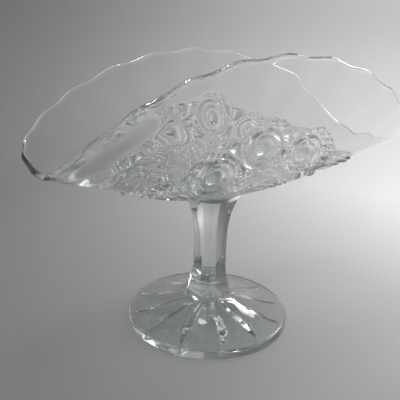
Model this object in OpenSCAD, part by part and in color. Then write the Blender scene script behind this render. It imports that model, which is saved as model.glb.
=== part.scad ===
// Footed banana dish of clear pressed glass: a trough-shaped bowl on a six-sided stem and a round star foot.
// Millimetres, +Z up. The origin is where the stem's axis meets the table, and the trough runs along X.

/* [Rim] */
// Length of the rim from end to end, along X
rim_length = 175; // [150:1:200]
// Width of the rim between its two raised sides, along Y
rim_width = 74; // [66:1:110]
// Height of the raised sides' rim above the table
side_height = 124; // [105:1:150]
// Height of the low ends' rim above the table
end_height = 80; // [76:1:100]
// How much fuller than an oval the rim is, lengthwise
length_fullness = 10.7; // [0:0.1:14]
// How much fuller than an oval the rim is, crosswise
width_fullness = 4.3; // [0:0.1:8]
// How far the rim sags between its ends and its sides
shoulder_dip = 3.3; // [0:0.1:6]
// How much the rim rises at the +X shoulders and falls at the -X ones
shoulder_lean = 5; // [0:0.5:8]
// How far the rim sits off the stem's axis, along X
rim_shift = 8.5; // [0:0.5:12]
// Number of shallow scallops round the rim
scallops = 28; // [16:2:40]
// Height of a scallop from hollow to crest
scallop_depth = 1.2; // [0.5:0.1:4]
// Share by which the scallops close up along the sides, so that all are about as long
scallop_spread = 0.16; // [0:0.01:0.2]
// Share of their height that the scallops lose towards the ends
scallop_fade = 0.7; // [0:0.05:1]

/* [Bowl] */
// Height of the bowl's flat base above the table
base_height = 64; // [54:0.5:72]
// How far the bowl's flat base stands out beyond the wafer
base_margin = 0.3; // [0:0.1:2]
// Thickness of the glass at the bottom of the bowl
base_wall = 4.5; // [3:0.1:7]
// Thickness of the glass at the rim
rim_wall = 2.2; // [1.8:0.1:4]
// Power of the rise from the base to the low ends
end_rise = 1.2; // [1.1:0.05:2]
// Power of the rise from the base to the raised sides
side_rise = 1.55; // [1.2:0.05:2.4]

/* [Ornament] */
// Number of ringed bosses round the bowl
bosses = 10; // [6:1:12]
// How far the ornament's middle sits off the stem's axis, along X
ornament_shift = 12; // [0:0.5:16]
// How far the ornament's middle sits off the stem's axis, along Y
ornament_offset = 2.5; // [0:0.5:5]
// Distance of the bosses from the ornament's middle
boss_reach = 38; // [34:0.5:42]
// Radius of the dome in the middle of a boss
dome_radius = 3.4; // [2:0.1:5]
// Height of a boss's dome
dome_height = 2.2; // [0.5:0.1:3]
// Radius of the ring round a boss
ring_radius = 8.4; // [6:0.1:10]
// Width of the ring round a boss
ring_width = 2.8; // [2:0.1:5]
// Height of the ring round a boss
ring_height = 1.5; // [0.3:0.1:2.5]
// Height of the raised field round the bosses
field_height = 0.9; // [0.2:0.1:1.5]
// Distance from the ornament's middle at which the field ends along the sides
field_reach = 48; // [44:0.5:54]
// How much farther the field goes towards the ends
field_stretch = 14; // [0:0.5:20]
// How far the field's edge arches over each boss
field_arch = 2; // [0:0.1:4]

/* [Wafer] */
// Thickness of the glass wafer that joins the bowl to the stem
wafer_thickness = 2.5; // [1.5:0.1:5]
// How far the wafer stands out beyond the stem's corners
wafer_margin = 0.2; // [0:0.1:2]

/* [Stem] */
// Width across two opposite panels at the waist
stem_waist = 15.2; // [10:0.1:22]
// Width across two opposite panels at the top
stem_top = 23; // [16:0.1:28]
// Width across two opposite panels at the bottom
stem_bottom = 23; // [16:0.1:26]
// Height of the waist's upper end above the table
waist_upper = 38; // [34:0.5:44]
// Height of the waist's lower end above the table
waist_lower = 30; // [22:0.5:33]
// Power of the flare above the waist
upper_flare = 2.8; // [1.5:0.1:4]
// Power of the flare below the waist
lower_flare = 2; // [1.5:0.1:4]

/* [Foot] */
// Radius of the foot
foot_radius = 38.5; // [32:0.5:50]
// Height of the foot's upright edge
foot_edge = 4.2; // [3:0.1:7]
// Radius of the rounding on the foot's edge
foot_round = 1.2; // [0.4:0.1:1.4]
// Height of the collar that carries the stem
collar_height = 12.5; // [9:0.5:16]
// How far the collar stands out beyond the stem's corners
collar_margin = 0.3; // [0:0.1:2]
// Power of the foot's rise from its edge to the collar
foot_rise = 2.3; // [1:0.1:3]
// Number of rays in the star under the foot
star_rays = 12; // [6:1:14]
// Radius at which the rays come to a point
star_radius = 35.5; // [28:0.5:37]
// Radius of the plain pad at the middle of the star
pad_radius = 4; // [3:0.5:12]
// Depth of a ray where it meets the pad
ray_depth = 7; // [1:0.1:8]
// Width of a ray where it meets the pad
ray_width = 20; // [8:0.1:24]

/* [Hidden] */

// Points round the bowl for each boss, and rings of points from the base up to the bosses' middles,
// from there to the field's edge, from there to the rim, and up the inside
columns_per_boss = 16;
lower_rings = 13;
upper_rings = 9;
band_rings = 4;
inside_rings = 6;
around = bosses * columns_per_boss;

// Turn at which one of the bosses sits, and steps in which their ring is measured
boss_turn = 271.4;
ring_step = 2;

// Levels between which the ornament grows to its full height
field_start = 0.04;
field_full = 0.25;

// Step used to find the slope of the bowl's skin
nudge = 0.01;

// How far the round crest of the rim stands above its two edges, as a share of the wall
crest_share = 0.42;

// The stem has six panels, stands on the collar and reaches the wafer
panels = 6;
stem_base = collar_height;
stem_end = base_height - wafer_thickness;
flare_steps = 14;

// Round faces that carry or cover the stem's corners
function corner_radius(width) = width / 2 / cos(180 / panels);
collar_radius = corner_radius(stem_bottom) + collar_margin;
wafer_radius = corner_radius(stem_top) + wafer_margin;
base_radius = wafer_radius + base_margin;

// Steps in the foot's curved top, and in the rounding of its edge
foot_steps = 8;
round_step = 15;

// Turn at which one of the rays lies
ray_turn = 9.6;

// Reach of a ray's cutter beyond the glass that it cuts
overcut = 6;

// Segments of the round pieces
round_segments = 128;

// Clear glass
glass = [0.86, 0.92, 0.93, 0.45];

// The rim's course: turn is counted from the end at +X
function rim_x(turn) =
    rim_shift + (rim_length / 2 + length_fullness) * cos(turn) - length_fullness * cos(3 * turn);
function rim_y(turn) = (rim_width / 2 + width_fullness) * sin(turn) + width_fullness * sin(3 * turn);
function rim_z(turn) =
    (side_height + end_height) / 2
    - (side_height - end_height) / 2 * cos(2 * turn)
    - shoulder_dip * (1 - cos(4 * turn))
    + shoulder_lean * cos(turn) * pow(sin(turn), 2);

// The outer skin: level 0 is the edge of the flat base, level 1 the rim
function rise(turn) = end_rise + (side_rise - end_rise) * pow(sin(turn), 2);
function skin(turn, level) = [
    base_radius * cos(turn) * (1 - level) + rim_x(turn) * level,
    base_radius * sin(turn) * (1 - level) + rim_y(turn) * level,
    base_height + (rim_z(turn) - base_height) * pow(max(level, 0), rise(turn))
];

// Direction up the skin, and square to it towards the inside of the bowl
function unit(v) = v / norm(v);
function up_skin(turn, level) = unit(skin(turn, level + nudge) - skin(turn, max(level - nudge, 0)));
function round_skin(turn, level) = unit(skin(turn + 1, level) - skin(turn - 1, level));
function inward(turn, level) = unit(cross(up_skin(turn, level), round_skin(turn, level)));

// Scallops lift the skin along itself, fading out below the rim
function scallop_lift(turn) =
    scallop_depth / 2 * (1 - scallop_fade * pow(cos(turn), 2))
    * cos(scallops * (turn - scallop_spread * sin(2 * turn) * 180 / PI));
function outside(turn, level) =
    skin(turn, level) + up_skin(turn, level) * scallop_lift(turn) * pow(level, 4);
function wall(level) = base_wall + (rim_wall - base_wall) * level;
function inside(turn, level) = outside(turn, level) + inward(turn, level) * wall(level);
function crest(turn) =
    (outside(turn, 1) + inside(turn, 1)) / 2 + up_skin(turn, 1) * rim_wall * crest_share;

// Reach is the distance of a place on the skin from the ornament's middle on the bowl's base
ornament_middle = [ornament_shift, ornament_offset, base_height];
function reach(place) = norm(place - ornament_middle);
function level_at(turn, goal, low = 0, high = 1, tries = 16) =
    let (half = (low + high) / 2)
    tries == 0 ? half
    : reach(skin(turn, half)) < goal ? level_at(turn, goal, half, high, tries - 1)
    : level_at(turn, goal, low, half, tries - 1);

// The ring of bosses, measured along the skin, so that they are equally far apart
ring_turns = [for (turn = [0:ring_step:360]) turn];
ring_places = [for (turn = ring_turns) skin(turn, level_at(turn, boss_reach))];
ring_lengths = [
    for (
        i = 0, length = 0;
        i < len(ring_places);
        i = i + 1, length = length + (i < len(ring_places) ? norm(ring_places[i] - ring_places[i - 1]) : 0)
    ) length
];
ring_whole = ring_lengths[len(ring_lengths) - 1];
length_by_turn = [for (i = [0:len(ring_turns) - 1]) [ring_turns[i], ring_lengths[i]]];
turn_by_length = [for (i = [0:len(ring_turns) - 1]) [ring_lengths[i], ring_turns[i]]];
first_boss = lookup(boss_turn, length_by_turn);

// Turn at a count of bosses from the first one
function turn_at(count) =
    let (length = first_boss + ring_whole * count / bosses)
    lookup(length - ring_whole * floor(length / ring_whole), turn_by_length);
boss_places = [
    for (k = [0:bosses - 1]) let (turn = turn_at(k)) skin(turn, level_at(turn, boss_reach))
];

// The ornament's heights, square to the skin: domes with a ring round each, in a raised field
function smooth_step(low, high, value) =
    let (share = min(max((value - low) / (high - low), 0), 1))
    share * share * (3 - 2 * share);
function ridge(offset, half_width, height) = height * max(0, 1 - pow(offset / half_width, 2));
function relief(place) =
    let (
        distance = min([for (spot = boss_places) norm(place - spot)]),
        ring = ridge(distance - ring_radius, ring_width / 2, ring_height)
    )
    distance < ring_radius ? ridge(distance, dome_radius, dome_height) + ring : max(ring, field_height);
function pressed(turn, level) =
    outside(turn, level)
    - inward(turn, level) * relief(skin(turn, level)) * smooth_step(field_start, field_full, level);

// Level at which the raised field ends, and a level part of the way between two others
function field_end(turn, count) =
    level_at(turn, field_reach + field_stretch * pow(cos(turn), 2) + field_arch * cos(360 * count));
function between(low, high, share) = low + (high - low) * share;

// First point of a ring, and the two triangles between neighbours of two rings
function ring_start(ring) = ring * around;
function strip(low, high) = [
    for (i = [0:around - 1]) let (j = (i + 1) % around)
        each [[low + i, high + i, low + j], [low + j, high + i, high + j]]
];

module bowl() {
    columns = [0:around - 1];
    counts = [for (i = columns) i / columns_per_boss];
    turns = [for (count = counts) turn_at(count)];
    middles = [for (turn = turns) level_at(turn, boss_reach)];
    ends = [for (i = columns) field_end(turns[i], counts[i])];
    ring_count = lower_rings + upper_rings + band_rings + inside_rings + 3;
    base_middle = ring_count * around;
    points = [
        for (k = [0:lower_rings - 1]) for (i = columns)
            pressed(turns[i], between(0, middles[i], k / lower_rings)),
        for (k = [0:upper_rings - 1]) for (i = columns)
            pressed(turns[i], between(middles[i], ends[i], k / upper_rings)),
        for (k = [0:band_rings]) for (i = columns)
            outside(turns[i], between(ends[i], 1, k / band_rings)),
        for (turn = turns) crest(turn),
        for (k = [inside_rings:-1:0]) for (turn = turns) inside(turn, k / inside_rings),
        [0, 0, base_height],
        [0, 0, base_height + base_wall]
    ];
    faces = [
        for (ring = [0:ring_count - 2]) each strip(ring_start(ring), ring_start(ring + 1)),
        for (i = columns) [i, (i + 1) % around, base_middle],
        for (i = columns) let (last = ring_start(ring_count - 1))
            [last + (i + 1) % around, last + i, base_middle + 1]
    ];
    color(glass)
    polyhedron(points, faces);
}

module wafer() {
    color(glass)
    translate([0, 0, stem_end])
    cylinder(r = wafer_radius, h = wafer_thickness, $fn = round_segments);
}

// Half the width across the stem's panels at a height
function flare(share, width, power) = (stem_waist + (width - stem_waist) * pow(share, power)) / 2;
function lower_half(k) = flare(1 - k / flare_steps, stem_bottom, lower_flare);
function upper_half(k) = flare(k / flare_steps, stem_top, upper_flare);

// Side view of one pair of opposite panels, as an upright outline
module panel_outline() {
    right = [
        for (k = [0:flare_steps]) [lower_half(k), stem_base + (waist_lower - stem_base) * k / flare_steps],
        for (k = [0:flare_steps]) [upper_half(k), waist_upper + (stem_end - waist_upper) * k / flare_steps]
    ];
    left = [for (k = [len(right) - 1:-1:0]) [-right[k][0], right[k][1]]];
    polygon(concat(right, left));
}

module stem() {
    depth = 2 * max(stem_top, stem_bottom);
    color(glass)
    intersection_for (k = [0:panels / 2 - 1])
        rotate([0, 0, 360 / panels * (k + 0.5)])
        rotate([90, 0, 0])
        linear_extrude(depth, center = true)
        panel_outline();
}

// A ray is a wide V whose floor climbs from its point at the star's edge to full depth at the pad
module ray_cutter() {
    run = star_radius - pad_radius;
    slope = atan(ray_depth / run);
    spread = ray_width / ray_depth;
    drop = ray_depth + overcut;
    translate([star_radius, 0, 0])
    rotate([0, -90 + slope, 0])
    linear_extrude(star_radius)
    polygon([[0, 0], [-drop, -drop * spread / 2], [-drop, drop * spread / 2]]);
}

// Half the foot's section: a rounded edge, then a top that climbs ever faster to the collar
module foot_section() {
    top_run = foot_radius - foot_round - collar_radius;
    top_climb = collar_height - foot_edge;
    polygon(concat(
        [[0, 0], [foot_radius, 0]],
        [for (a = [0:round_step:90]) [
            foot_radius - foot_round * (1 - cos(a)),
            foot_edge - foot_round * (1 - sin(a))
        ]],
        [for (k = [1:foot_steps]) [
            foot_radius - foot_round - top_run * k / foot_steps,
            foot_edge + top_climb * pow(k / foot_steps, foot_rise)
        ]],
        [[0, collar_height]]
    ));
}

module foot() {
    color(glass)
    difference() {
        rotate_extrude($fn = round_segments)
        foot_section();
        difference() {
            for (k = [0:star_rays - 1])
                rotate([0, 0, ray_turn + 360 / star_rays * k])
                ray_cutter();
            translate([0, 0, -overcut])
            cylinder(r = pad_radius, h = 2 * collar_height, $fn = round_segments);
        }
    }
}

bowl();
wafer();
stem();
foot();
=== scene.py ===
"""Looks of a footed banana dish of clear pressed glass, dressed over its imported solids. Metres, +Z up."""
import math

import bpy
import numpy as np
from mathutils import Matrix, Vector


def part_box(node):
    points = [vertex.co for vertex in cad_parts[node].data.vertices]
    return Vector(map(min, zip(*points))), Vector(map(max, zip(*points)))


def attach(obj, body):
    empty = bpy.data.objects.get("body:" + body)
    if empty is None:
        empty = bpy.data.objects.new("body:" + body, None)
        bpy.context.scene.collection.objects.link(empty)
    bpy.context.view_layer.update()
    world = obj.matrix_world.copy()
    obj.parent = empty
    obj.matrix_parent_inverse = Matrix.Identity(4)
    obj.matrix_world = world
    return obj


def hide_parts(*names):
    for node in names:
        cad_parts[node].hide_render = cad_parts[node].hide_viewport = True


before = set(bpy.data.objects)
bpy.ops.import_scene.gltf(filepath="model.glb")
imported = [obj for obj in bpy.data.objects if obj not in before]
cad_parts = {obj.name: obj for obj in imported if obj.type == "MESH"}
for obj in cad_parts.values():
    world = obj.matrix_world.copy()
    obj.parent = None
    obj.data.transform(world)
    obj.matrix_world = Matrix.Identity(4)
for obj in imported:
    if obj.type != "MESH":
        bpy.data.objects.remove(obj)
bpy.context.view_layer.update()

MM = 0.001

# Points nearer to each other than this are merged
MERGE = 0.001 * MM

# Rim of the bowl, with the same course as in the solid
RIM_LENGTH = 175 * MM
RIM_WIDTH = 74 * MM
SIDE_HEIGHT = 124 * MM
END_HEIGHT = 80 * MM
LENGTH_FULLNESS = 10.7 * MM
WIDTH_FULLNESS = 4.3 * MM
SHOULDER_DIP = 3.3 * MM
SHOULDER_LEAN = 5 * MM
RIM_SHIFT = 8.5 * MM
SCALLOPS = 28
SCALLOP_DEPTH = 1.2 * MM
SCALLOP_RISE = 4
SCALLOP_SPREAD = 0.16
SCALLOP_FADE = 0.7

# Wall of the bowl
BASE_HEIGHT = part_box("wafer")[1].z
BASE_MARGIN = 0.3 * MM
BASE_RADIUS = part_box("wafer")[1].x + BASE_MARGIN
BASE_WALL = 4.5 * MM
RIM_WALL = 2.2 * MM
END_RISE = 1.2
SIDE_RISE = 1.55
CREST_SHARE = 0.42

# Pressed ornament on the outside of the bowl: ringed bosses, with stars and diamond points between them.
# Reach is the distance from the ornament's middle on the bowl's base.
ORNAMENT_MIDDLE = np.array([12 * MM, 2.5 * MM, BASE_HEIGHT])
BOSSES = 10
BOSS_TURN = math.radians(271.4)
BOSS_REACH = 38 * MM
BOSS_RADIUS = 10.2 * MM
DOME_RADIUS = 3.4 * MM
DOME_HEIGHT = 2.2 * MM
RINGS = ((5.6 * MM, 1.0 * MM, 0.8 * MM), (8.4 * MM, 1.4 * MM, 1.5 * MM))
STAR_SIZE = 8.5 * MM
STAR_HUB = 0.3 * STAR_SIZE
STAR_POINTS = 8
STAR_DEPTH = 2.4 * MM
DIAMONDS_PER_BOSS = 6
DIAMOND_RISE = 4.2 * MM
DIAMOND_DEPTH = 1.8 * MM
FIELD_REACH = 48 * MM
FIELD_STRETCH = 14 * MM
FIELD_ARCH = 2 * MM
ORNAMENT_EDGE = 1.5 * MM
ORNAMENT_START = 0.04
ORNAMENT_FULL = 0.25

# Steps in which the skin is searched for a reach, and in which the ring of bosses is measured
LEVEL_STEPS = 400
TURN_STEPS = 720

# Waves left in the plain band by the folding: waves round the bowl, waves up its wall, and depth.
# Streaks are the same on the inside, at the -Y side of the bowl's -X end. They stop between two levels,
# and grow between two shares of the way to -X and to -Y.
FLUTE_DEPTH = 0.05 * MM
FOLDS = ((2, 2.0, 0.12 * MM), (5, -4.0, 0.04 * MM))
FOLDS_START = 0.40
FOLDS_FULL = 0.80
STREAKS = ((2, 3.1, 0.44 * MM), (5, -4.3, 0.26 * MM), (3, 8.0, 0.18 * MM))
STREAKS_START = 0.15
STREAKS_FULL = 0.45
STREAKS_STOP = (0.93, 1)
STREAKS_END = (0.3, 0.7)
STREAKS_SIDE = (0.15, 0.5)

# Rows and columns of the sheet of glass that is laid round the bowl
COLUMNS = 480
BASE_ROWS = 5
OUTSIDE_ROWS = 128
RIM_ROWS = 7
INSIDE_ROWS = 60
FLOOR_ROWS = 4
ORNAMENT_SHARE = 0.87

# Stem
PANELS = 6
STEM_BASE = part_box("foot")[1].z
STEM_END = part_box("wafer")[0].z
STEM_WAIST = 15.2 * MM
STEM_TOP = 23 * MM
STEM_BOTTOM = 23 * MM
WAIST_UPPER = 38 * MM
WAIST_LOWER = 30 * MM
UPPER_FLARE = 2.8
LOWER_FLARE = 2.0
FLARE_STEPS = 18
CORNER_ROUND = 0.45 * MM
CORNER_SEGMENTS = 3
STEM_CREASE = math.radians(14)

# Edges whose ends differ less than this in height are level, and less than this in turn are upright
LEVEL_EDGE = 0.1 * MM
UPRIGHT_EDGE = 0.1

# Foot
FOOT_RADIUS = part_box("foot")[1].x
FOOT_EDGE = 4.2 * MM
FOOT_ROUND = 1.2 * MM
FOOT_RISE = 2.3
COLLAR_MARGIN = 0.3 * MM
COLLAR_RADIUS = STEM_BOTTOM / 2 / math.cos(math.pi / PANELS) + COLLAR_MARGIN
LOWER_ROUND = 0.4 * MM
LOWER_STEPS = 3
FOOT_STEPS = 24
ROUND_STEPS = 8
FOOT_COLUMNS = 480
FOOT_CREASE = math.radians(36)

# Star under the foot, with the softness of its rays' floors and edges and of the edge of its pad
STAR_RAYS = 12
RAY_TURN = math.radians(9.6)
RAY_TIP = 35.5 * MM
PAD_RADIUS = 4 * MM
RAY_DEPTH = 7 * MM
RAY_WIDTH = 20 * MM
RAY_FLOOR = 0.4 * MM
RAY_EDGE = 0.4 * MM
PAD_EDGE = 0.2 * MM
PAD_ROWS = 3
STAR_ROWS = 80

# Wafer, sunk a hair into the glass above and below it, so that the light goes straight through
WAFER_COLUMNS = 128
WAFER_ROUND = 0.8 * MM
WAFER_SEGMENTS = 4
WAFER_CREASE = math.radians(25)
SINK = 0.05 * MM

# Camera of the photograph, in a frame whose +Y is the way it looks, and the dish's turn in that frame
DISH_TURN = math.radians(30.9)
CAMERA_PLACE = Vector((-5.4, -219.6, 130.0)) * MM
CAMERA_PITCH = math.radians(17.95)
CAMERA_ROLL = math.radians(1.88)
LENS = 45
SENSOR = 36
CLIP_START = 10 * MM

# Stage: a round floor that sweeps up into a wall
FLOOR_RADIUS = 420 * MM
SWEEP_RADIUS = 160 * MM
WALL_HEIGHT = 440 * MM
FLOOR_GAP = 0.3 * MM
STAGE_COLUMNS = 96
SWEEP_STEPS = 12

# Paper of the stage, with painted shade and light: its two colours (painted shade to the left and in front,
# painted light to the right), the way from one to the other, and where that starts and ends
PAPER_PAINTED_SHADE = (0.23, 0.23, 0.233)
PAPER_PAINTED_LIGHT = (0.75, 0.75, 0.75)
PAINTED_LIGHT_WAY = Vector((1, 0.5, -0.5))
PAINTED_LIGHT_START = -0.45 * FLOOR_RADIUS
PAINTED_LIGHT_END = FLOOR_RADIUS
PAPER_ROUGHNESS = 0.8

# Lamps in the camera's frame: place, width, power and whether their image shows through the glass
LAMPS = {
    "window": ((0.32, 0.23, 0.29), 0.24, 1.0, False),
    "glint": ((0.305, 0.22, 0.28), 0.13, 0.35, True),
    "fill": ((-0.05, 0.05, 0.66), 0.12, 1.9, True),
}
LAMP_TARGET = Vector((0, 0, 0.06))
ROOM_COLOR = (0.92, 0.94, 0.96)
ROOM_STRENGTH = 0.15

# Bounces for light that runs along inside the bowl's wall, and for light that shines straight through
BOUNCES = 64
CLEAR_BOUNCES = 24

# Glass: its index, what it lets through of a lamp's light, and what it takes up on the way through
GLASS_INDEX = 1.51
SHADOW_TINT = (0.94, 0.95, 0.945)
BODY_COLOR = (0.50, 0.54, 0.52)
BODY_DENSITY = 12

# Finish of each piece: tint, scale and depth of its ripples, and its roughest breath mark
FINISHES = {
    "bowl": ((0.975, 0.985, 0.98), 45, 0.25 * MM, 0.03),
    "wafer": ((0.985, 0.99, 0.985), 30, 0.05 * MM, 0.0),
    "stem": ((0.98, 0.988, 0.984), 40, 0.10 * MM, 0.02),
    "foot": ((0.98, 0.988, 0.984), 40, 0.15 * MM, 0.02),
}
RIPPLE_DETAIL = 1.0
HAZE_DETAIL = 4.0
HAZE_SPREAD = (0.45, 0.75)


def deselect():
    if bpy.context.mode != "OBJECT":
        bpy.ops.object.mode_set(mode="OBJECT")
    bpy.ops.object.select_all(action="DESELECT")


def named(name):
    """Names the object that was just added, and its mesh."""
    obj = bpy.context.object
    obj.name = name
    obj.data.name = name
    return obj


def close_up():
    """Merges seams and poles of the active mesh and turns its faces outwards."""
    bpy.ops.object.mode_set(mode="EDIT")
    bpy.ops.mesh.select_all(action="SELECT")
    bpy.ops.mesh.remove_doubles(threshold=MERGE)
    bpy.ops.mesh.normals_make_consistent(inside=False)
    bpy.ops.object.mode_set(mode="OBJECT")


def smooth_step(low, high, value):
    share = np.clip((value - low) / (high - low), 0, 1)
    return share * share * (3 - 2 * share)


def zigzag(value):
    """0 at whole numbers and 1 half way between them."""
    return 2 * np.abs(value - np.floor(value + 0.5))


def unit(v):
    return v / np.linalg.norm(v, axis=-1, keepdims=True)


# The bowl's skin: turn goes round from +X, level is 0 at the edge of the base and 1 at the rim

def rim_course(turn):
    x = RIM_SHIFT + (RIM_LENGTH / 2 + LENGTH_FULLNESS) * np.cos(turn) - LENGTH_FULLNESS * np.cos(3 * turn)
    y = (RIM_WIDTH / 2 + WIDTH_FULLNESS) * np.sin(turn) + WIDTH_FULLNESS * np.sin(3 * turn)
    middle = (SIDE_HEIGHT + END_HEIGHT) / 2
    swing = (SIDE_HEIGHT - END_HEIGHT) / 2
    z = middle - swing * np.cos(2 * turn) - SHOULDER_DIP * (1 - np.cos(4 * turn))
    lean = SHOULDER_LEAN * np.cos(turn) * np.sin(turn) ** 2
    return x, y, z + lean


def skin(turn, level):
    turn, level = np.broadcast_arrays(turn, level)
    rim_x, rim_y, rim_z = rim_course(turn)
    rise = END_RISE + (SIDE_RISE - END_RISE) * np.sin(turn) ** 2
    return np.stack([
        BASE_RADIUS * np.cos(turn) * (1 - level) + rim_x * level,
        BASE_RADIUS * np.sin(turn) * (1 - level) + rim_y * level,
        BASE_HEIGHT + (rim_z - BASE_HEIGHT) * np.maximum(level, 0) ** rise,
    ], axis=-1)


def up_skin(turn, level, nudge=0.01):
    return unit(skin(turn, level + nudge) - skin(turn, np.maximum(level - nudge, 0)))


def round_skin(turn, level, nudge=math.radians(1)):
    return unit(skin(turn + nudge, level) - skin(turn - nudge, level))


def inward(turn, level):
    return unit(np.cross(up_skin(turn, level), round_skin(turn, level)))


def scallop(turn):
    """1 on the crest of a scallop and -1 in a hollow along the sides, and less at the ends."""
    strength = 1 - SCALLOP_FADE * np.cos(turn) ** 2
    return strength * np.cos(SCALLOPS * (turn - SCALLOP_SPREAD * np.sin(2 * turn)))


def outside(turn, level):
    """The outer skin with the rim's scallops, before the ornament."""
    lift = SCALLOP_DEPTH / 2 * scallop(turn) * level ** SCALLOP_RISE
    return skin(turn, level) + up_skin(turn, level) * lift[..., None]


def waves(turn, level):
    """Flutes under the scallops, and the uneven folds of a wall that was bent while hot."""
    height = FLUTE_DEPTH * scallop(turn)
    for rounds, rises, depth in FOLDS:
        height = height + depth * np.sin(rounds * turn + 2 * math.pi * rises * level)
    return height * smooth_step(FOLDS_START, FOLDS_FULL, level)


def streaks(turn, level):
    """Uneven thickness of the wall at the -Y side of the -X end."""
    height = np.zeros(np.shape(level))
    for rounds, rises, depth in STREAKS:
        height = height + depth * np.sin(rounds * turn + 2 * math.pi * rises * level)
    strength = smooth_step(*STREAKS_END, -np.cos(turn)) * smooth_step(*STREAKS_SIDE, -np.sin(turn))
    shown = smooth_step(STREAKS_START, STREAKS_FULL, level) * (1 - smooth_step(*STREAKS_STOP, level))
    return height * strength * shown


def inside(turn, level):
    wall = BASE_WALL + (RIM_WALL - BASE_WALL) * level + streaks(turn, level)
    return outside(turn, level) + inward(turn, level) * wall[..., None]


# The pressed ornament, as heights square to the skin

def reach_of(place):
    return np.linalg.norm(place - ORNAMENT_MIDDLE, axis=-1)


def level_at_reach(turn, reach):
    """Level at which the skin comes to a reach, for each turn."""
    levels = np.linspace(0, 1, LEVEL_STEPS + 1)
    pairs = zip(np.ravel(turn), np.ravel(np.broadcast_to(reach, np.shape(turn))))
    return np.array([np.interp(goal, reach_of(skin(one, levels)), levels) for one, goal in pairs])


def field_end(turn):
    """Reach at which the pressed field ends: farther out towards the bowl's ends."""
    return FIELD_REACH + FIELD_STRETCH * np.cos(turn) ** 2


def boss_ring():
    """Turns round the bowl, and at each the bosses passed since the first, all equally far apart."""
    turn = np.linspace(0, 2 * math.pi, TURN_STEPS + 1)
    step = np.linalg.norm(np.diff(skin(turn, level_at_reach(turn, BOSS_REACH)), axis=0), axis=1)
    count = np.concatenate([[0], np.cumsum(step)]) / step.sum() * BOSSES
    return turn, count - np.interp(BOSS_TURN, turn, count)


def turns_at(counts):
    turn, count = boss_ring()
    return np.interp((counts - count[0]) % BOSSES + count[0], count, turn)


def ridge(offset, half_width, height):
    """A rounded ridge: full height at no offset, down to nothing at half its width."""
    return height * np.clip(1 - (offset / half_width) ** 2, 0, 1)


def boss_profile(distance):
    """A dome with rings round it."""
    height = ridge(distance, DOME_RADIUS, DOME_HEIGHT)
    for radius, half_width, ring_height in RINGS:
        height = height + ridge(distance - radius, half_width, ring_height)
    return height


def star_profile(place, middle, across, up):
    """Pointed flutes that run out from a middle, and how far each point lies from it."""
    offset = place - middle
    distance = np.linalg.norm(offset, axis=-1)
    angle = np.arctan2(offset @ up, offset @ across)
    flutes = STAR_DEPTH * zigzag(STAR_POINTS * angle / (2 * math.pi))
    return flutes * smooth_step(0, STAR_HUB, distance), distance


def ornament(turn, level):
    place = skin(turn, level)
    reach = reach_of(place)
    count = np.interp(turn, *boss_ring())
    across = count * DIAMONDS_PER_BOSS
    along = reach / DIAMOND_RISE
    relief = DIAMOND_DEPTH * np.minimum(zigzag(across + along), zigzag(across - along))
    between = turns_at(np.arange(BOSSES) + 0.5)
    for one, one_level in zip(between, level_at_reach(between, BOSS_REACH)):
        flutes, distance = star_profile(
            place, skin(one, one_level), round_skin(one, one_level), up_skin(one, one_level)
        )
        relief = np.where(distance < STAR_SIZE, flutes, relief)
    bosses = turns_at(np.arange(BOSSES))
    for one, one_level in zip(bosses, level_at_reach(bosses, BOSS_REACH)):
        distance = np.linalg.norm(place - skin(one, one_level), axis=-1)
        relief = np.where(distance < BOSS_RADIUS, boss_profile(distance), relief)
    top = field_end(turn) + FIELD_ARCH * np.cos(2 * math.pi * count)
    grown = smooth_step(ORNAMENT_START, ORNAMENT_FULL, level)
    kept = 1 - smooth_step(top - ORNAMENT_EDGE, top, reach)
    return relief * grown * kept


def bowl_points():
    """Points of the sheet, row by row: base, outside, over the rim, inside and floor."""
    turn = np.linspace(0, 2 * math.pi, COLUMNS + 1)[None, :]
    turns = np.repeat(turn, OUTSIDE_ROWS + 1, axis=0)
    share = np.linspace(0, 1, OUTSIDE_ROWS + 1)[:, None]
    ornament_end = level_at_reach(turn, field_end(turn) + FIELD_ARCH)[None, :]
    below = ornament_end * share / ORNAMENT_SHARE
    above = ornament_end + (1 - ornament_end) * (share - ORNAMENT_SHARE) / (1 - ORNAMENT_SHARE)
    levels = np.where(share < ORNAMENT_SHARE, below, above)
    relief = ornament(turns, levels) + waves(turns, levels)
    outer = outside(turns, levels) - inward(turns, levels) * relief[..., None]
    inner_level = np.linspace(1, 0, INSIDE_ROWS + 1)[:, None]
    inner = inside(*np.broadcast_arrays(turn, inner_level))
    middle = (outer[-1] + inner[0]) / 2
    half = (outer[-1] - inner[0]) / 2
    lift = up_skin(turn[0], np.ones(COLUMNS + 1)) * RIM_WALL * CREST_SHARE
    angle = np.linspace(0, math.pi, RIM_ROWS + 1)[1:-1, None, None]
    crest = middle + half * np.cos(angle) + lift * np.sin(angle)
    base_share = np.linspace(0, 1, BASE_ROWS + 1)[:-1, None, None]
    base_middle = np.array([0, 0, BASE_HEIGHT])
    base = base_middle * (1 - base_share) + outer[0] * base_share
    floor_share = np.linspace(1, 0, FLOOR_ROWS + 1)[1:, None, None]
    floor_middle = np.array([0, 0, inner[-1][:, 2].mean()])
    floor = floor_middle * (1 - floor_share) + inner[-1] * floor_share
    return np.concatenate([base, outer, crest, inner, floor])


def sheet(name, points):
    """A grid laid along rows of points that go round from pole to pole, closed at its seam."""
    rows, columns = points.shape[0] - 1, points.shape[1] - 1
    deselect()
    bpy.ops.mesh.primitive_grid_add(x_subdivisions=columns, y_subdivisions=rows, size=1)
    obj = named(name)
    flat = np.empty(len(obj.data.vertices) * 3)
    obj.data.vertices.foreach_get("co", flat)
    flat = flat.reshape(-1, 3)
    column = np.rint((flat[:, 0] + 0.5) * columns).astype(int)
    row = np.rint((flat[:, 1] + 0.5) * rows).astype(int)
    obj.data.vertices.foreach_set("co", points[row, column].ravel())
    obj.data.update()
    close_up()
    return obj


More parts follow.
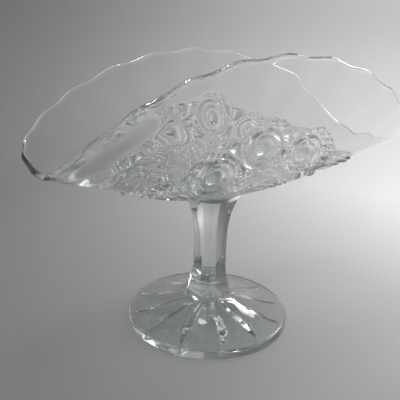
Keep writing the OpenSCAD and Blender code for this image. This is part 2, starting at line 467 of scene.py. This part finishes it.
def make_bowl():
    bowl = sheet("bowl_glass", bowl_points())
    bpy.ops.object.shade_smooth()
    return bowl


def chain(name, outline):
    """A primitive drawn together to one point, then extruded along an outline in the XZ plane."""
    deselect()
    bpy.ops.mesh.primitive_plane_add(size=MM)
    obj = named(name)
    bpy.ops.object.mode_set(mode="EDIT")
    bpy.ops.mesh.select_mode(type="VERT")
    bpy.ops.mesh.select_all(action="SELECT")
    bpy.ops.mesh.merge(type="CENTER")
    last = Vector((0, 0, 0))
    for index, (x, z) in enumerate(outline):
        point = Vector((x, 0, z))
        if index == 0:
            bpy.ops.transform.translate(value=point - last)
        else:
            bpy.ops.mesh.extrude_vertices_move(TRANSFORM_OT_translate={"value": point - last})
        last = point
    bpy.ops.object.mode_set(mode="OBJECT")
    return obj


def spun(name, outline, columns):
    """A shell of revolution about Z, left open and in edit mode."""
    obj = chain(name, outline)
    bpy.ops.object.mode_set(mode="EDIT")
    bpy.ops.mesh.select_all(action="SELECT")
    bpy.ops.mesh.spin(steps=columns, angle=2 * math.pi, center=(0, 0, 0), axis=(0, 0, 1))
    bpy.ops.mesh.select_all(action="SELECT")
    bpy.ops.mesh.remove_doubles(threshold=MERGE)
    return obj


def foot_outline():
    """Half the foot's section, from its lower edge over the rounded rim to the collar."""
    points = [(FOOT_RADIUS - LOWER_ROUND, 0)]
    for k in range(1, LOWER_STEPS + 1):
        a = math.pi / 2 * k / LOWER_STEPS
        points.append((FOOT_RADIUS - LOWER_ROUND * (1 - math.sin(a)), LOWER_ROUND * (1 - math.cos(a))))
    for k in range(ROUND_STEPS + 1):
        a = math.pi / 2 * k / ROUND_STEPS
        x = FOOT_RADIUS - FOOT_ROUND * (1 - math.cos(a))
        points.append((x, FOOT_EDGE - FOOT_ROUND * (1 - math.sin(a))))
    run = FOOT_RADIUS - FOOT_ROUND - COLLAR_RADIUS
    climb = STEM_BASE - FOOT_EDGE
    for k in range(1, FOOT_STEPS + 1):
        share = k / FOOT_STEPS
        points.append((FOOT_RADIUS - FOOT_ROUND - run * share, FOOT_EDGE + climb * share ** FOOT_RISE))
    return points


def star_height(radius, turn):
    """Height of the pressed star above the table: V-shaped rays with softened floors and edges."""
    spacing = 2 * math.pi / STAR_RAYS
    off = (turn - RAY_TURN + spacing / 2) % spacing - spacing / 2
    along = radius * np.cos(off)
    aside = np.hypot(radius * np.sin(off), RAY_FLOOR) - RAY_FLOOR
    floor = RAY_DEPTH * (RAY_TIP - along) / (RAY_TIP - PAD_RADIUS)
    depth = floor - aside * 2 * RAY_DEPTH / RAY_WIDTH
    height = (depth + np.hypot(depth, RAY_EDGE)) / 2
    pad_step = smooth_step(PAD_RADIUS - PAD_EDGE, PAD_RADIUS + PAD_EDGE, radius)
    return height * pad_step * (1 - smooth_step(RAY_TIP - PAD_EDGE, RAY_TIP + RAY_EDGE, radius))


def foot_points():
    """Points of the foot, ring by ring: underside with its star, rim, top and the collar's face."""
    turn = np.linspace(0, 2 * math.pi, FOOT_COLUMNS + 1)[None, :]
    pad = np.linspace(0, PAD_RADIUS - PAD_EDGE, PAD_ROWS + 1)
    star = np.linspace(PAD_RADIUS + PAD_EDGE, RAY_TIP + RAY_EDGE, STAR_ROWS + 1)
    outline = np.array(foot_outline() + [(0, STEM_BASE)])
    under = np.concatenate([pad, star])[:, None]
    radius = np.concatenate([under, outline[:, 0:1]])
    over = np.repeat(outline[:, 1:2], FOOT_COLUMNS + 1, axis=1)
    height = np.concatenate([star_height(under, turn), over])
    return np.stack([radius * np.cos(turn), radius * np.sin(turn), height], axis=-1)


def make_foot():
    foot = sheet("foot_glass", foot_points())
    bpy.ops.object.shade_smooth_by_angle(angle=FOOT_CREASE)
    return foot


def stem_rings():
    """Heights up the stem, with the width across its panels at each."""
    rings = []
    for k in range(FLARE_STEPS + 1):
        share = k / FLARE_STEPS
        height = STEM_BASE + (WAIST_LOWER - STEM_BASE) * share
        rings.append((height, STEM_WAIST + (STEM_BOTTOM - STEM_WAIST) * (1 - share) ** LOWER_FLARE))
    for k in range(FLARE_STEPS + 1):
        share = k / FLARE_STEPS
        height = WAIST_UPPER + (STEM_END - WAIST_UPPER) * share
        rings.append((height, STEM_WAIST + (STEM_TOP - STEM_WAIST) * share ** UPPER_FLARE))
    rings[0] = (STEM_BASE - SINK, rings[0][1])
    return rings


def make_stem():
    rings = stem_rings()
    height, width = rings[0]
    deselect()
    bpy.ops.mesh.primitive_circle_add(
        vertices=PANELS,
        radius=width / 2 / math.cos(math.pi / PANELS),
        fill_type="NGON",
        location=(0, 0, height),
        rotation=(0, 0, math.pi / PANELS),
    )
    stem = named("stem_glass")
    bpy.ops.object.transform_apply(location=True, rotation=True, scale=True)
    bpy.ops.object.mode_set(mode="EDIT")
    bpy.ops.mesh.select_all(action="SELECT")
    for next_height, next_width in rings[1:]:
        bpy.ops.mesh.extrude_region_move(TRANSFORM_OT_translate={"value": (0, 0, next_height - height)})
        factor = next_width / width
        bpy.ops.transform.resize(value=(factor, factor, 1))
        height, width = next_height, next_width
    bpy.ops.object.mode_set(mode="OBJECT")
    mesh = stem.data
    for edge in mesh.edges:
        a, b = (mesh.vertices[i].co for i in edge.vertices)
        turn = abs(math.atan2(a.y, a.x) - math.atan2(b.y, b.x))
        edge.select = abs(a.z - b.z) > LEVEL_EDGE and min(turn, 2 * math.pi - turn) < UPRIGHT_EDGE
    bpy.ops.object.mode_set(mode="EDIT")
    bpy.ops.mesh.select_mode(type="EDGE")
    bpy.ops.mesh.bevel(offset=CORNER_ROUND, segments=CORNER_SEGMENTS, clamp_overlap=True)
    bpy.ops.object.mode_set(mode="OBJECT")
    close_up()
    bpy.ops.object.shade_smooth_by_angle(angle=STEM_CREASE)
    return stem


def make_wafer():
    low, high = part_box("wafer")
    deselect()
    bpy.ops.mesh.primitive_cylinder_add(
        vertices=WAFER_COLUMNS,
        radius=high.x,
        depth=high.z - low.z + 2 * SINK,
        location=(0, 0, (low.z + high.z) / 2),
    )
    wafer = named("wafer_glass")
    bpy.ops.object.transform_apply(location=True, rotation=True, scale=True)
    for edge in wafer.data.edges:
        a, b = (wafer.data.vertices[i].co for i in edge.vertices)
        edge.select = abs(a.z - b.z) < LEVEL_EDGE
    bpy.ops.object.mode_set(mode="EDIT")
    bpy.ops.mesh.select_mode(type="EDGE")
    bpy.ops.mesh.bevel(offset=WAFER_ROUND, segments=WAFER_SEGMENTS)
    bpy.ops.object.mode_set(mode="OBJECT")
    bpy.ops.object.shade_smooth_by_angle(angle=WAFER_CREASE)
    return wafer


# Finish

def surface_group():
    """Faint ripples and breath marks of pressed glass, from the place on the piece."""
    group = bpy.data.node_groups.new("pressed_glass_surface", "ShaderNodeTree")
    sockets = group.interface
    inputs = {"Ripple Scale": 40.0, "Haze Scale": 18.0, "Haze Low": 0.0, "Haze High": 0.03}
    for name, value in inputs.items():
        sockets.new_socket(name, in_out="INPUT", socket_type="NodeSocketFloat").default_value = value
    sockets.new_socket("Roughness", in_out="OUTPUT", socket_type="NodeSocketFloat")
    sockets.new_socket("Height", in_out="OUTPUT", socket_type="NodeSocketFloat")
    nodes, links = group.nodes, group.links
    enter = nodes.new("NodeGroupInput")
    leave = nodes.new("NodeGroupOutput")
    place = nodes.new("ShaderNodeTexCoord")
    ripple = nodes.new("ShaderNodeTexNoise")
    ripple.inputs["Detail"].default_value = RIPPLE_DETAIL
    haze = nodes.new("ShaderNodeTexNoise")
    haze.inputs["Detail"].default_value = HAZE_DETAIL
    spread = nodes.new("ShaderNodeMapRange")
    spread.inputs["From Min"].default_value = HAZE_SPREAD[0]
    spread.inputs["From Max"].default_value = HAZE_SPREAD[1]
    links.new(place.outputs["Object"], ripple.inputs["Vector"])
    links.new(place.outputs["Object"], haze.inputs["Vector"])
    links.new(enter.outputs["Ripple Scale"], ripple.inputs["Scale"])
    links.new(enter.outputs["Haze Scale"], haze.inputs["Scale"])
    links.new(haze.outputs["Fac"], spread.inputs["Value"])
    links.new(enter.outputs["Haze Low"], spread.inputs["To Min"])
    links.new(enter.outputs["Haze High"], spread.inputs["To Max"])
    links.new(spread.outputs["Result"], leave.inputs["Roughness"])
    links.new(ripple.outputs["Fac"], leave.inputs["Height"])
    return group


def glass_material(name, group, tint, ripple_scale, ripple_depth, haze):
    """Clear glass that dims long ways a little. Lamps shine through it, so its shadow stays light."""
    material = bpy.data.materials.new(name)
    material.use_nodes = True
    nodes, links = material.node_tree.nodes, material.node_tree.links
    shader = nodes["Principled BSDF"]
    output = nodes["Material Output"]
    shader.inputs["Base Color"].default_value = (*tint, 1)
    shader.inputs["Transmission Weight"].default_value = 1.0
    shader.inputs["IOR"].default_value = GLASS_INDEX
    surface = nodes.new("ShaderNodeGroup")
    surface.node_tree = group
    surface.inputs["Ripple Scale"].default_value = ripple_scale
    surface.inputs["Haze High"].default_value = haze
    bump = nodes.new("ShaderNodeBump")
    bump.inputs["Strength"].default_value = 1.0
    bump.inputs["Distance"].default_value = ripple_depth
    links.new(surface.outputs["Roughness"], shader.inputs["Roughness"])
    links.new(surface.outputs["Height"], bump.inputs["Height"])
    links.new(bump.outputs["Normal"], shader.inputs["Normal"])
    path = nodes.new("ShaderNodeLightPath")
    clear = nodes.new("ShaderNodeBsdfTransparent")
    clear.inputs["Color"].default_value = (*SHADOW_TINT, 1)
    mix = nodes.new("ShaderNodeMixShader")
    links.new(path.outputs["Is Shadow Ray"], mix.inputs["Fac"])
    links.new(shader.outputs["BSDF"], mix.inputs[1])
    links.new(clear.outputs["BSDF"], mix.inputs[2])
    links.new(mix.outputs["Shader"], output.inputs["Surface"])
    body = nodes.new("ShaderNodeVolumeAbsorption")
    body.inputs["Color"].default_value = (*BODY_COLOR, 1)
    body.inputs["Density"].default_value = BODY_DENSITY
    links.new(body.outputs["Volume"], output.inputs["Volume"])
    return material


def stage_material():
    """Pale paper with painted light and shade: greyer where shade is painted, to the left of the picture
    and in front, and whiter where light is painted, to its right.
    """
    material = bpy.data.materials.new("pale_paper_painted_light")
    material.use_nodes = True
    nodes, links = material.node_tree.nodes, material.node_tree.links
    shader = nodes["Principled BSDF"]
    shader.inputs["Roughness"].default_value = PAPER_ROUGHNESS
    place = nodes.new("ShaderNodeTexCoord")
    aside = nodes.new("ShaderNodeVectorMath")
    aside.operation = "DOT_PRODUCT"
    aside.inputs[1].default_value = Matrix.Rotation(-DISH_TURN, 3, "Z") @ PAINTED_LIGHT_WAY
    share = nodes.new("ShaderNodeMapRange")
    share.interpolation_type = "SMOOTHSTEP"
    share.inputs["From Min"].default_value = PAINTED_LIGHT_START
    share.inputs["From Max"].default_value = PAINTED_LIGHT_END
    # Painted shade on the left and in front, blended into painted light on the right
    painted_light_blend = nodes.new("ShaderNodeMix")
    painted_light_blend.data_type = "RGBA"
    painted_light_blend.inputs["A"].default_value = (*PAPER_PAINTED_SHADE, 1)
    painted_light_blend.inputs["B"].default_value = (*PAPER_PAINTED_LIGHT, 1)
    links.new(place.outputs["Object"], aside.inputs[0])
    links.new(aside.outputs["Value"], share.inputs["Value"])
    links.new(share.outputs["Result"], painted_light_blend.inputs["Factor"])
    links.new(painted_light_blend.outputs["Result"], shader.inputs["Base Color"])
    return material


def finish_piece(piece, node, material):
    piece.data.materials.clear()
    piece.data.materials.append(material)
    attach(piece, "root")
    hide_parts(node)


def make_stage():
    outline = [(0, -FLOOR_GAP)]
    for k in range(SWEEP_STEPS + 1):
        a = math.pi / 2 * k / SWEEP_STEPS
        outline.append((
            FLOOR_RADIUS - SWEEP_RADIUS * (1 - math.sin(a)),
            SWEEP_RADIUS * (1 - math.cos(a)) - FLOOR_GAP,
        ))
    outline.append((FLOOR_RADIUS, WALL_HEIGHT))
    floor = spun("floor", outline, STAGE_COLUMNS)
    bpy.ops.mesh.normals_make_consistent(inside=True)
    bpy.ops.object.mode_set(mode="OBJECT")
    bpy.ops.object.shade_smooth()
    floor.data.materials.append(stage_material())


def add_lamp(name, place, size, power, sparkles):
    data = bpy.data.lights.new(name, "AREA")
    data.shape = "DISK"
    data.size = size
    data.energy = power
    lamp = bpy.data.objects.new(name, data)
    bpy.context.collection.objects.link(lamp)
    view = Matrix.Rotation(-DISH_TURN, 3, "Z")
    lamp.visible_camera = False
    lamp.visible_transmission = sparkles
    lamp.location = view @ Vector(place)
    lamp.rotation_euler = (view @ (LAMP_TARGET - Vector(place))).to_track_quat("-Z", "Y").to_euler()


def make_light():
    for name, lamp in LAMPS.items():
        add_lamp(name, *lamp)
    world = bpy.data.worlds.new("soft_room")
    bpy.context.scene.world = world
    world.use_nodes = True
    back = world.node_tree.nodes["Background"]
    back.inputs["Color"].default_value = (*ROOM_COLOR, 1)
    back.inputs["Strength"].default_value = ROOM_STRENGTH


def make_camera():
    data = bpy.data.cameras.new("camera")
    data.lens = LENS
    data.sensor_width = SENSOR
    data.clip_start = CLIP_START
    camera = bpy.data.objects.new("camera", data)
    bpy.context.collection.objects.link(camera)
    view = Matrix.Rotation(-DISH_TURN, 4, "Z")
    tilt = Matrix.Rotation(math.pi / 2 - CAMERA_PITCH, 4, "X")
    roll = Matrix.Rotation(CAMERA_ROLL, 4, "Z")
    camera.matrix_world = view @ Matrix.Translation(CAMERA_PLACE) @ tilt @ roll
    bpy.context.scene.camera = camera


def set_render_paths():
    """Enough bounces for light in the bowl's wall. Lamps shine through, so no caustics are needed."""
    cycles = bpy.context.scene.cycles
    cycles.max_bounces = BOUNCES
    cycles.transmission_bounces = BOUNCES
    cycles.glossy_bounces = BOUNCES
    cycles.transparent_max_bounces = CLEAR_BOUNCES
    cycles.caustics_refractive = False
    cycles.caustics_reflective = False


surface = surface_group()
bowl_glass = glass_material("bowl_glass", surface, *FINISHES["bowl"])
wafer_glass = glass_material("wafer_glass", surface, *FINISHES["wafer"])
stem_glass = glass_material("stem_glass", surface, *FINISHES["stem"])
foot_glass = glass_material("foot_glass", surface, *FINISHES["foot"])
finish_piece(make_bowl(), "bowl", bowl_glass)
finish_piece(make_wafer(), "wafer", wafer_glass)
finish_piece(make_stem(), "stem", stem_glass)
finish_piece(make_foot(), "foot", foot_glass)
make_stage()
make_light()
make_camera()
set_render_paths()
bpy.context.scene.view_settings.view_transform = "Standard"
